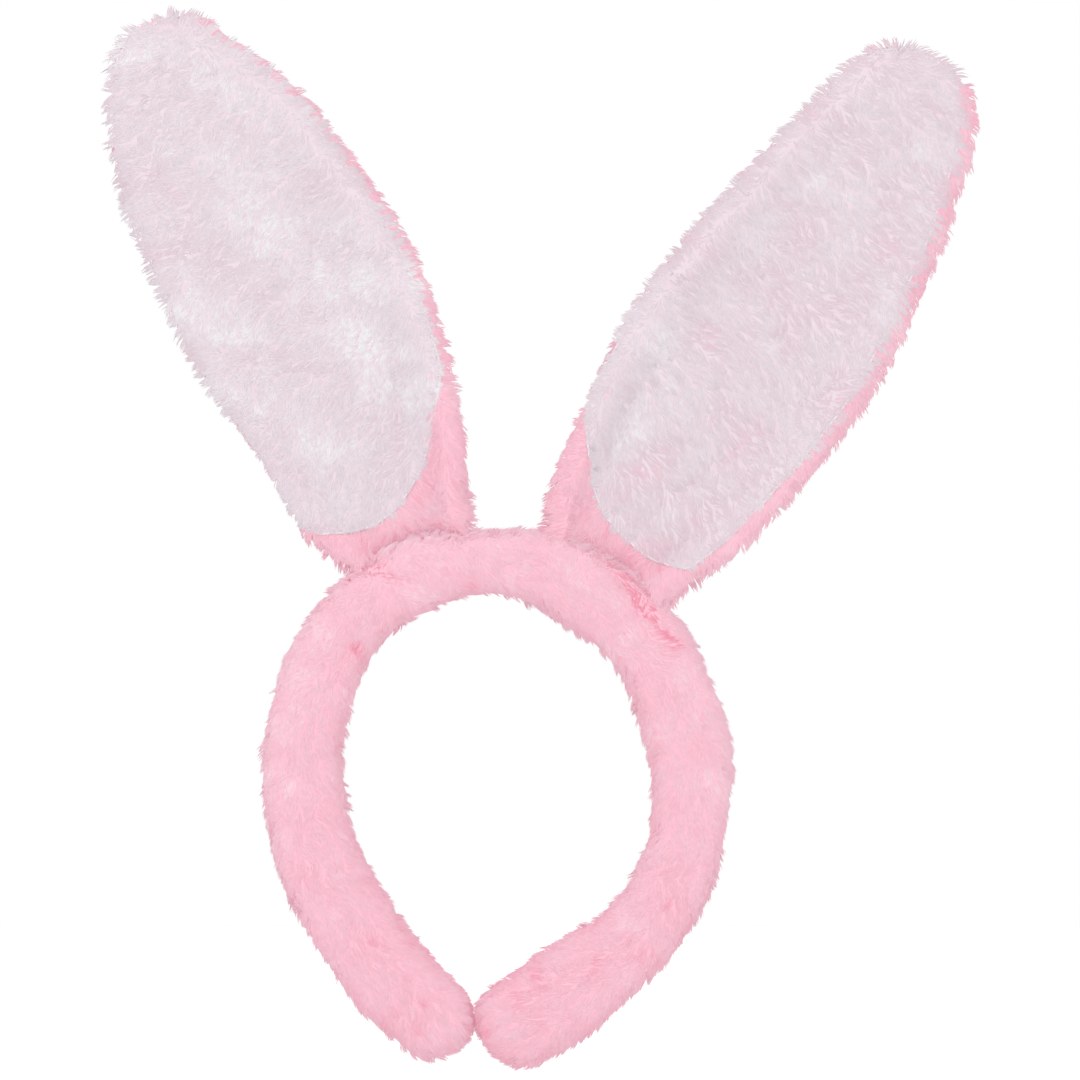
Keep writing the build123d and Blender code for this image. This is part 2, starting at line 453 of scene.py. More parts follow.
def grained_material(name, dark, light, scale, bump, roughness, metallic):
    """A plain material whose colour and surface vary a little."""
    shader = Shader(name, Roughness=roughness, Metallic=metallic)
    grain = shader.noise(scale)
    shader.link(shader.ramp(grain, [(0.3, dark), (0.7, light)]), "Base Color")
    shader.bump(grain, bump, 0.0002)
    return shader.material


def thread_material(name, dark, light):
    """Twisted sewing thread."""
    shader = Shader(name, Roughness=0.6, Sheen_Weight=0.2)
    place = shader.add("ShaderNodeTexCoord").outputs["Object"]
    inputs = {"Vector": place, "Scale": 900.0, "Distortion": 1.5}
    twist = shader.add("ShaderNodeTexWave", inputs, bands_direction="DIAGONAL").outputs["Fac"]
    shader.link(shader.ramp(twist, [(0.2, dark), (0.8, light)]), "Base Color")
    shader.bump(twist, 0.6, 0.0002)
    return shader.material


MATERIALS = {
    "pink_pile": pile_material("pink_pile", PINK),
    "white_pile": pile_material("white_pile", WHITE),
    "pink_plush": cloth_material("pink_plush", PINK),
    "white_plush": cloth_material("white_plush", WHITE),
    "pink_thread": thread_material("pink_thread", (232, 140, 166), (246, 178, 198)),
    "white_thread": thread_material("white_thread", (214, 204, 210), (238, 232, 236)),
}
GRAINED = {  # dark and light colour, the grain's scale, bump, roughness and metallic
    "padding_foam": ((222, 214, 196), (240, 235, 222), 700.0, 0.8, 0.95, 0.0),
    "ear_wadding": ((228, 228, 226), (246, 246, 244), 350.0, 0.9, 1.0, 0.0),
    "core_plastic": ((206, 206, 210), (222, 222, 226), 60.0, 0.1, 0.4, 0.0),
    "ear_wire": ((118, 120, 124), (158, 160, 165), 250.0, 0.2, 0.35, 1.0),
    "crimp_metal": ((168, 158, 132), (196, 186, 160), 300.0, 0.2, 0.3, 1.0),
}
for grained, looks in GRAINED.items():
    MATERIALS[grained] = grained_material(grained, *looks)


def dress(obj, material):
    """Gives a piece its material."""
    obj.data.materials.clear()
    obj.data.materials.append(MATERIALS[material])
    return obj


# ---- Pile ----
TUFT_TRIANGLES = np.array([
    (0, 1, 4), (0, 4, 3), (1, 2, 5), (1, 5, 4), (2, 0, 3), (2, 3, 5),  # root ring to middle ring
    (3, 4, 6), (4, 5, 6), (5, 3, 6),  # middle ring to tip
    (2, 1, 0),  # root
])
TUFT_CORNERS = 7
RING_CORNERS = 3  # of a tuft's root and of its middle
RING_ANGLES = (90.0, -30.0, -150.0)
TUFT_U_STEPS = np.array([0, 1, 2, 0, 1, 2, 1])  # keep a tuft's map from having no area
TUFT_V = (0.02, 0.03, 0.04, 0.5, 0.51, 0.52, 0.98)


def scatter(mesh, share, rng):
    """Points spread evenly over a mesh, with the smooth normals there."""
    mesh.calc_loop_triangles()
    corners = np.empty(len(mesh.loop_triangles) * 3, np.int32)
    mesh.loop_triangles.foreach_get("vertices", corners)
    corners = corners.reshape(-1, 3)
    points, ways = coords(mesh), normals(mesh)
    a, b, c = (points[corners[:, i]] for i in range(3))
    area = np.linalg.norm(np.cross(b - a, c - a), axis=1) / 2
    count = int(share * area.sum() / MM**2 * TUFTS_PER_MM2)
    steps = (np.arange(count) + rng.random(count)) / count
    chosen = np.searchsorted(np.cumsum(area) / area.sum(), steps).clip(0, len(area) - 1)
    first, second = np.sqrt(rng.random(count)), rng.random(count)
    shares = np.stack([1 - first, first * (1 - second), first * second], axis=1)[:, :, None]
    picked = corners[chosen]
    return (points[picked] * shares).sum(axis=1), unit((ways[picked] * shares).sum(axis=1))


def nearest_lock(roots, tufts, rng):
    """For each tuft, the tuft in the middle of its lock of about this many tufts."""
    centres = rng.choice(len(roots), max(1, len(roots) // tufts), replace=False)
    tree = KDTree(len(centres))
    for i, centre in enumerate(centres):
        tree.insert(roots[centre], i)
    tree.balance()
    return centres[[tree.find(root)[1] for root in roots]]


def soften_shading(mesh, points, triangles, out):
    """Turns the shading normals towards the cloth's, as light scatters from tuft to tuft."""
    a, b, c = (points[triangles[:, i]] for i in range(3))
    facing = unit(np.cross(b - a, c - a))[:, None]
    mixed = unit(normals(mesh)[triangles] * (1 - NORMAL_BLEND) + out[:, None] * NORMAL_BLEND)
    short = np.maximum(LEAST_FACING - dot(mixed, facing), 0.0)[..., None]
    mesh.normals_split_custom_set(unit(mixed + facing * short).reshape(-1, 3).tolist())


def pile(name, surface, seed, keep, flow, tint, height, material):
    """The pile on one cloth surface, as real tapered tufts that lie in small locks.

    keep, flow, tint and height are functions of the roots and their normals: which tufts to
    make, which way they lie, how light they are from 0 to 1, and how long, where 1 is plain.
    """
    rng = np.random.default_rng(seed)
    share = 1.0
    roots, out = scatter(surface, share, rng)
    kept = np.flatnonzero(keep(roots, out))
    if len(kept) > MOST_TUFTS:
        kept = np.sort(rng.choice(kept, MOST_TUFTS, replace=False))
    roots, out = roots[kept], out[kept]
    count = len(roots)
    lock = nearest_lock(roots, LOCK_TUFTS, rng)
    wisp = nearest_lock(roots, WISP_TUFTS, rng)

    way = flow(roots, out)
    way = unit(way - dot(way, out)[:, None] * out)
    side = np.cross(out, way)
    swing = rng.normal(0, WISP_SWING, count)[wisp] + rng.normal(0, LOCK_SWING, count)[lock]
    swing += rng.normal(0, TUFT_SWING, count)
    way = way * np.cos(swing)[:, None] + side * np.sin(swing)[:, None]
    lean = rng.normal(LEAN, LOCK_LEAN, count)[lock] + rng.normal(0, TUFT_LEAN, count)
    lean = np.clip(lean, *LEAN_LIMITS)
    long = TUFT_LENGTH * MM * height(roots, out) * rng.uniform(*LENGTH_SPREAD, count)
    reach = (out * lean[:, None] + way * np.sqrt(1 - lean**2)[:, None]) * long[:, None]
    tips = roots + reach
    tips += (roots[lock] + reach[lock] - tips) * LOCK_PULL
    middles = (roots + tips) / 2 + out * (ARCH * long)[:, None]

    axis = unit(tips - roots)
    across = unit(np.cross(axis, out))
    up = np.cross(across, axis)
    wide = TUFT_RADIUS * MM * rng.uniform(*WIDTH_SPREAD, count) / math.sqrt(share)
    points = np.empty((count, TUFT_CORNERS, 3))
    for i, turned in enumerate(np.radians(RING_ANGLES)):
        ring = across * math.cos(turned) + up * math.sin(turned) * FLATNESS
        points[:, i] = roots + ring * (ROOT_WIDTH * wide)[:, None] - out * ROOT_DEPTH * MM
        points[:, RING_CORNERS + i] = middles + ring * wide[:, None]
    points[:, -1] = tips

    shade = tint(roots, out) + rng.normal(0, WISP_SHADE, count)[wisp]
    shade += rng.normal(0, LOCK_SHADE, count)[lock]
    shade += rng.normal(0, TUFT_SHADE, count)
    shade = np.clip(shade, 0.01, 0.98)
    places = np.empty((count, TUFT_CORNERS, 2))
    places[:, :, 0] = shade[:, None] + 0.004 * TUFT_U_STEPS
    places[:, :, 1] = TUFT_V

    first_corners = TUFT_CORNERS * np.arange(count)
    triangles = (TUFT_TRIANGLES[None] + first_corners[:, None, None]).reshape(-1, 3)
    mesh = bpy.data.meshes.new(name)
    mesh.vertices.add(count * TUFT_CORNERS)
    mesh.vertices.foreach_set("co", points.astype(np.float32).ravel())
    mesh.loops.add(triangles.size)
    mesh.loops.foreach_set("vertex_index", triangles.astype(np.int32).ravel())
    mesh.polygons.add(len(triangles))
    mesh.polygons.foreach_set("loop_start", np.arange(0, triangles.size, 3, dtype=np.int32))
    mesh.polygons.foreach_set("use_smooth", np.ones(len(triangles), bool))
    mesh.update(calc_edges=True)
    uv = mesh.uv_layers.new(name="OFBake")
    flat_map = places.reshape(-1, 2)[triangles.ravel()]
    uv.data.foreach_set("uv", flat_map.astype(np.float32).ravel())
    cloth_ways = np.repeat(out, len(TUFT_TRIANGLES), axis=0)
    soften_shading(mesh, points.reshape(-1, 3), triangles, cloth_ways)
    tufts = dress(new_object(name, mesh), material)
    # Fine pile scatters light on, so it looks soft and hardly shades itself.
    tufts.visible_shadow = False
    tufts.visible_diffuse = False
    return tufts


# ---- Band ----
def direction(angle):
    """The way along the band, towards the right, at an angle from straight up."""
    return np.array([math.cos(math.radians(angle)), 0.0, -math.sin(math.radians(angle))])


class Route:
    """The band's centre line, read from the seam thread that runs along its back."""

    def __init__(self):
        bodies = ("left_arm", "crown", "right_arm")
        nodes = [frame["nodes"][f"{body}_sleeve_seam"] for body in bodies]
        line = np.concatenate([coords(node.data) for node in nodes])[:, [0, 2]]
        angles = np.degrees(np.arctan2(line[:, 0], line[:, 1]))
        groups = np.round(angles / 2).astype(int)
        used = np.unique(groups)
        rough = np.array([line[groups == g].mean(axis=0) for g in used])
        rough_angles = np.degrees(np.arctan2(rough[:, 0], rough[:, 1]))
        self.angles = np.arange(rough_angles[0], rough_angles[-1], 0.5)
        radius = np.interp(self.angles, rough_angles, np.linalg.norm(rough, axis=1))
        # A running mean over 8 steps to each side, past the ends as well.
        before = radius[0] - (radius[8:0:-1] - radius[0])
        after = radius[-1] - (radius[-2:-10:-1] - radius[-1])
        radius = np.convolve(np.concatenate([before, radius, after]), np.ones(17) / 17, "valid")
        turned = np.radians(self.angles)
        self.line = np.stack([radius * np.sin(turned), radius * np.cos(turned)], axis=1)
        self.along = unit(np.gradient(self.line, axis=0))
        self.outward = np.stack([-self.along[:, 1], self.along[:, 0]], axis=1)

    def nearest(self, points):
        """For each point: the route's step beside it, its angle, and how far outward it lies."""
        flat = points[:, [0, 2]]
        step = np.empty(len(flat), int)
        at_once = 4000
        for start in range(0, len(flat), at_once):
            gaps = flat[start : start + at_once, None] - self.line[None]
            step[start : start + at_once] = (gaps**2).sum(axis=2).argmin(axis=1)
        return step, self.angles[step], dot(flat - self.line[step], self.outward[step])


route = Route()


def fold_depth(points, out):
    """How deep the band's folds are; they are only in its front."""
    front = smoothstep(-out[:, 1] * FOLD_FACING)
    return groove(points, points[:, [0, 2]] / MM, BAND_FOLDS, front)


def band_skin(side):
    """The padded sleeve's cloth over the crown and one arm, in one closed form."""
    layers = ("plush_sleeve", "foam", "core_strip")
    nodes = [f"{body}_{layer}" for body in ("crown", f"{side}_arm") for layer in layers]
    skin = remeshed(f"{side}_skin", nodes, BAND_VOXEL)
    set_coords(skin.data, coords(skin.data) - normals(skin.data) * (PILE_RISE + BAND_INSET) * MM)
    puff(skin, BAND_SWELL)
    subdivide(skin)

    points = coords(skin.data)
    step, angle, outward = route.nearest(points)
    inside = (step > 0) & (step < len(route.angles) - 1)
    goal = {1: knots(OUTER_FULLNESS), -1: knots(INNER_FULLNESS)}
    move = np.zeros(len(points))
    for sign in (1, -1):
        furthest = np.array([
            (outward[inside & (np.abs(angle - a) < FIT_REACH)] * sign).max(initial=0.0)
            for a in FIT_ANGLES
        ])
        known = furthest > 5 * MM
        reached = np.interp(angle, FIT_ANGLES[known], furthest[known])
        target = (BAND_HALF + goal[sign](angle) - PILE_RISE) * MM
        share = np.clip(outward * sign / reached, 0.0, 1.0)
        move += sign * share * (target - reached)
    points[:, [0, 2]] += route.outward[step] * move[:, None]
    set_coords(skin.data, points)

    out = normals(skin.data)
    points = points - out * fold_depth(points, out)[:, None]
    swell = ripple(11, 16.0)(points) * BAND_UNEVENNESS * MM
    set_coords(skin.data, points + out * swell[:, None])
    return skin


def cut(skin, name, sides):
    """A closed copy of a skin without what lies past each (angle, way): way 1 is clockwise."""
    bm = bmesh.new()
    bm.from_mesh(skin.data)
    for angle, way in sides:
        everything = bm.verts[:] + bm.edges[:] + bm.faces[:]
        bmesh.ops.bisect_plane(
            bm, geom=everything, dist=1e-7, plane_co=(0, 0, 0), plane_no=direction(angle) * way,
            clear_outer=True,
        )
        bmesh.ops.holes_fill(bm, edges=bm.edges[:], sides=0)
    mesh = bpy.data.meshes.new(name)
    bm.to_mesh(mesh)
    bm.free()
    mesh.shade_smooth()
    return new_object(name, mesh)


def blend_arm(obj):
    """Moves a piece's transform into its mesh."""
    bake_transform(obj)


def joint_named(name):
    return next(joint for joint in frame["joints"] if joint["name"] == name)


wave_swirl = ripple(21, 14.0)
wave_light = ripple(22, 9.0)
wave_fine = ripple(23, 4.0)


def band_flow(points, out):
    """The pile lies away from its parting, down both arms, and swirls a little."""
    step, angle, _ = route.nearest(points)
    along = np.zeros((len(points), 3))
    along[:, [0, 2]] = route.along[step] * np.tanh((angle - PARTING_ANGLE) / 10.0)[:, None]
    along[:, 2] -= 0.7 * np.exp(-((angle / 40.0) ** 2))
    return along + np.cross(out, along) * (0.45 * wave_swirl(points))[:, None]


def band_tint(points, out):
    """Deeper pink towards the tips, and painted shade in the folds."""
    light = 0.6 + 0.1 * wave_light(points) + 0.05 * wave_fine(points)
    angle = np.abs(route.nearest(points)[1])
    light -= 0.17 * smoothstep((angle - DARKER_FROM) / DARKER_OVER)
    # Painted shade: the folds' depth darkens the tint.
    return light - BAND_FOLD_SHADE * fold_depth(points, out)


def band_height(points, out):
    """Shorter in the folds and along the seam at the back."""
    away = np.abs(route.nearest(points)[2]) / (SEAM_PARTING * MM)
    seam = np.exp(-(away**2)) * smoothstep(out[:, 1] * 2 - 1)
    waved = 1.0 + 0.12 * wave_light(points)
    return waved - BAND_FOLD_TRIM * fold_depth(points, out) - 0.45 * seam


def band_pieces():
    """The sleeve, its foam, pile and seam, for the crown and both arms."""
    skins = {side: band_skin(side) for side in ("left", "right")}
    depsgraph = bpy.context.evaluated_depsgraph_get()
    surfaces = {side: BVHTree.FromObject(skin, depsgraph) for side, skin in skins.items()}
    # For each body: whose skin it is cut from, where, and at which angles its pile grows.
    split = SPLIT_ANGLE
    parts = {
        "crown": ("left", [(-split, -1), (split, 1)], lambda angle: np.abs(angle) < split),
        "left_arm": ("left", [(-split, 1)], lambda angle: angle <= -split),
        "right_arm": ("right", [(split, -1)], lambda angle: angle >= split),
    }
    for number, (body, (side, cuts, within)) in enumerate(parts.items()):
        skin = skins[side]
        sleeve = dress(cut(skin, f"{body}_sleeve", cuts), "pink_plush")
        foam = dress(cut(skin, f"{body}_padding", cuts), "padding_foam")
        set_coords(foam.data, coords(foam.data) - normals(foam.data) * FOAM_INSET * MM)
        tufts = pile(
            f"{body}_pile", skin.data, BAND_PILE_SEED + number,
            keep=lambda points, out: within(route.nearest(points)[1]),
            flow=band_flow, tint=band_tint, height=band_height,
            material="pink_pile",
        )
        seam = seated_seam(body, surfaces[side])
        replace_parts(sleeve, f"{body}_plush_sleeve")
        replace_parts(foam, f"{body}_foam")
        for piece in (sleeve, foam, tufts, seam):
            if body == "crown":
                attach(piece, "crown")
            else:
                blend_arm(piece)
    for skin in skins.values():
        bpy.data.objects.remove(skin)


def seated_seam(body, surface):
    """The sleeve's seam thread, laid on the cloth's back."""
    node = frame["nodes"][f"{body}_sleeve_seam"]
    points = coords(node.data)
    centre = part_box(node.name)[1].y - THREAD_RADIUS * MM
    for point in points:
        hit = surface.ray_cast(Vector((point[0], 0.1, point[2])), Vector((0, -1, 0)))[0]
        if hit is not None:
            point[1] += hit.y - centre
    mesh = node.data.copy()
    seam = new_object(f"{body}_back_seam", mesh)
    set_coords(mesh, points)
    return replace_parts(dress(seam, "pink_thread"), node.name)


# ---- Ears ----
class Ear:
    """One ear in its own axes: x to the right along its base, y up its length, f forward."""

    def __init__(self, side):
        joint = joint_named(f"{side}_ear_bend")
        shape = EAR_SHAPES[side]
        self.body = f"{side}_ear"
        self.pivot = np.array(joint["pos_m"])
        self.x_axis = np.array(joint["axis"])
        self.y_axis = np.array([-self.x_axis[2], 0.0, self.x_axis[0]])
        self.forward = np.array([0.0, -1.0, 0.0])
        self.axes = np.stack([self.x_axis, self.y_axis, self.forward])
        self.left, self.right = knots(shape["outline"], 1), knots(shape["outline"], 2)
        outer, inner = knots(CURL, 1), knots(CURL, 2)
        self.curl_left, self.curl_right = (outer, inner) if side == "left" else (inner, outer)
        self.white_left, self.white_right = knots(shape["panel"], 1), knots(shape["panel"], 2)
        self.panel_bottom = shape["panel"][0][0]
        self.folds, self.fringe = shape["folds"], shape["fringe"]
        self.whiteness = shape["whiteness"]
        self.inner = 1 if side == "left" else -1  # the side that faces the other ear
        self.band_radius = np.linalg.norm(self.pivot) / MM

    def local(self, points):
        """Row frame, in metres, to the ear's own axes, in millimetres."""
        return ((points - self.pivot) @ self.axes.T) / MM

    def place(self, local):
        """The other way round."""
        return (local * MM) @ self.axes + self.pivot

    def measure_outline(self, local):
        """Remembers how wide the flat ear is at each height."""
        self.heights = np.arange(local[:, 1].min() + 1.5, local[:, 1].max() - 1.0, 4.0)
        widths = [np.abs(local[np.abs(local[:, 1] - y) < 3.0, 0]).max() for y in self.heights]
        self.half_width = lambda y: np.interp(y, self.heights, widths)

    def curl(self, local):
        """Bends a flat ear: its sides curl forward, its tip leans back, its base sinks in."""
        x, y, f = local.T
        share = np.clip(x / self.half_width(y), -1.0, 1.0)
        most = np.radians(np.where(x > 0, self.curl_right(y), self.curl_left(y)))
        steps = (np.arange(CURL_STEPS) + 0.5) / CURL_STEPS
        part = (np.abs(share)[:, None] * steps - FLAT_SHARE) / (1 - FLAT_SHARE)
        angle = most[:, None] * smoothstep(part)
        end = most * smoothstep((np.abs(share) - FLAT_SHARE) / (1 - FLAT_SHARE))
        across = np.cos(angle).mean(axis=1) * np.abs(x) - np.sin(end) * f
        ahead = np.sin(angle).mean(axis=1) * np.abs(x) + np.cos(end) * f
        bent = np.stack([np.sign(x) * across, y, ahead], axis=1)
        near_base = smoothstep(1.0 - y / BASE_REACH)
        sag = np.minimum(np.abs(bent[:, 0]), BASE_HALF) ** 2 / (2 * self.band_radius)
        tuck = BASE_TUCK * np.maximum(bent[:, 2] - TUCK_START, 0.0)
        bent[:, 1] -= near_base * (BASE_DROP + sag + tuck)
        bent[:, 2] -= BACKWARD_BOW * (np.maximum(y, 0.0) / BOW_HEIGHT) ** 2
        return bent

    def measure_fit(self, local):
        """Remembers the shift and stretch that give the curled ear its outline."""
        top = local[:, 1].max()
        heights = np.arange(local[:, 1].min() + 2.0, top - 12.0, 4.0)
        shifts, stretches = [], []
        for y in heights:
            near = local[np.abs(local[:, 1] - y) < 2.5, 0]
            low, high = self.left(y) + PILE_RISE, self.right(y) - PILE_RISE
            stretches.append((high - low) / (near.max() - near.min()))
            shifts.append((high + low) / 2 - (near.max() + near.min()) / 2 * stretches[-1])
        self.fit_heights, self.fit_shifts, self.fit_stretches = heights, shifts, stretches

    def fit(self, local):
        """Shifts and stretches a curled ear to its outline."""
        fitted = local.copy()
        stretch = np.interp(local[:, 1], self.fit_heights, self.fit_stretches)
        shift = np.interp(local[:, 1], self.fit_heights, self.fit_shifts)
        fitted[:, 0] = local[:, 0] * stretch + shift
        return fitted

    def fold_depth(self, points, out):
        """How deep the folds in the ear's front are."""
        front = smoothstep(-out[:, 1] * FOLD_FACING)
        return groove(points, self.local(points)[:, :2], self.folds, front)

    def blend(self, obj):
        """Moves a piece's transform into its mesh."""
        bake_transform(obj)


def ear_skin(ear):
    """The ear's padded body, curled and fitted to its outline, as one closed form."""
    nodes = [f"{ear.body}_{layer}" for layer in ("back_panel", "front_panel", "padding")]
    skin = remeshed(f"{ear.body}_back", nodes, EAR_VOXEL)
    flat = coords(skin.data) - normals(skin.data) * PILE_RISE * MM
    local = ear.local(flat)
    ear.measure_outline(local)
    set_coords(skin.data, ear.place(ear.curl(local)))
    puff(skin, EAR_SWELL)
    subdivide(skin)
    local = ear.local(coords(skin.data))
    ear.measure_fit(local)
    set_coords(skin.data, ear.place(ear.fit(local)))
    points, out = coords(skin.data), normals(skin.data)
    set_coords(skin.data, points - out * ear.fold_depth(points, out)[:, None])
    skin.data.shade_smooth()
    return skin


def panel_sides(ear, local):
    """Functions for the white panel's left and right edge, which stay on the ear's body."""
    heights = np.arange(local[:, 1].min() + 2.0, local[:, 1].max(), 3.0)
    near = [local[np.abs(local[:, 1] - y) < 2.0, 0] for y in heights]
    lows, highs = [n.min() for n in near], [n.max() for n in near]

    def left(y):
        return np.maximum(ear.white_left(y), np.interp(y, heights, lows) + PANEL_MARGIN)

    def right(y):
        high = np.interp(y, heights, highs) - PANEL_MARGIN - ear.fringe
        return np.maximum(np.minimum(ear.white_right(y), high), left(y) + 0.5)

    return left, right


def front_panel(ear, skin):
    """The white panel: an even grid laid on the ear's front between its two edges."""
    local = ear.local(coords(skin.data))
    left, right = panel_sides(ear, local)
    surface = BVHTree.FromObject(skin, bpy.context.evaluated_depsgraph_get())
    rows, columns = PANEL_ROWS, PANEL_COLUMNS
    top = local[:, 1].max() - 1.5
    share = np.linspace(0.0, 1.0, rows)
    rounded = 0.5 - 0.5 * np.cos(math.pi * share)  # closer together at both ends
    heights = ear.panel_bottom + (top - ear.panel_bottom) * (0.5 * share + 0.5 * rounded)
    points = []
    for y in heights:
        for x in np.linspace(left(y), right(y), columns):
            start = Vector(ear.place(np.array([[x, y, 60.0]]))[0])
            hit, out = surface.ray_cast(start, Vector(-ear.forward))[:2]
            if hit is None:
                near = Vector(ear.place(np.array([[x, y, 0.0]]))[0])
                hit, out = surface.find_nearest(near)[:2]
            points.append(hit + out * PANEL_LIFT * MM)
    faces = [
        (r * columns + c, r * columns + c + 1, (r + 1) * columns + c + 1, (r + 1) * columns + c)
        for r in range(rows - 1)
        for c in range(columns - 1)
    ]
    mesh = bpy.data.meshes.new(f"{ear.body}_front")
    mesh.from_pydata(points, [], faces)
    mesh.update()
    mesh.shade_smooth()
    edge = [(0, c) for c in range(columns)] + [(r, columns - 1) for r in range(1, rows)]
    edge += [(rows - 1, c) for c in range(columns - 2, -1, -1)]
    edge += [(r, 0) for r in range(rows - 2, 0, -1)]
    border = [points[r * columns + c] for r, c in edge]
    return new_object(mesh.name, mesh), left, right, border


def thread(name, line, radius):
    """A closed loop of thread along these points."""
    curve = bpy.data.curves.new(name, "CURVE")
    curve.dimensions = "3D"
    curve.bevel_depth = radius
    curve.bevel_resolution = 1
    spline = curve.splines.new("POLY")
    spline.points.add(len(line) - 1)
    for point, place in zip(spline.points, line):
        point.co = (*place, 1.0)
    spline.use_cyclic_u = True
    return bake_curve(name, curve)


def bake_curve(name, curve):
    """A mesh object with the shape of a bevelled curve."""
    maker = new_object(name + "_maker", curve)
    depsgraph = bpy.context.evaluated_depsgraph_get()
    mesh = bpy.data.meshes.new_from_object(maker.evaluated_get(depsgraph))
    bpy.data.objects.remove(maker)
    mesh.name = name
    mesh.shade_smooth()
    return new_object(name, mesh)


def bend_inside(ear, obj, layer, slot, shrink, lift=0.0):
    """Bends a copy of one of the ear's inner pieces with the ear.

    shrink holds factors for x, y and f, and lift keeps its base up.
    """
    obj.name = f"{ear.body}_bent_{layer}"
    local = ear.local(coords(obj.data)) * shrink
    local[:, 1] += lift * smoothstep(1.0 - local[:, 1] / BASE_REACH)
    set_coords(obj.data, ear.place(ear.fit(ear.curl(local))))
    obj.data.shade_smooth()
    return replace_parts(dress(obj, slot), f"{ear.body}_{layer}")


def finer_copy(node, longest):
    """A copy of a CAD node whose edges are short enough to bend."""
    bm = bmesh.new()
    bm.from_mesh(frame["nodes"][node].data)
    bmesh.ops.remove_doubles(bm, verts=bm.verts[:], dist=1e-6)
    for _ in range(5):
        long_edges = [edge for edge in bm.edges if edge.calc_length() > longest * MM]
        bmesh.ops.subdivide_edges(bm, edges=long_edges, cuts=1)
    bmesh.ops.triangulate(bm, faces=bm.faces[:])
    mesh = bpy.data.meshes.new(node)
    bm.to_mesh(mesh)
    bm.free()
    return new_object(node, mesh)


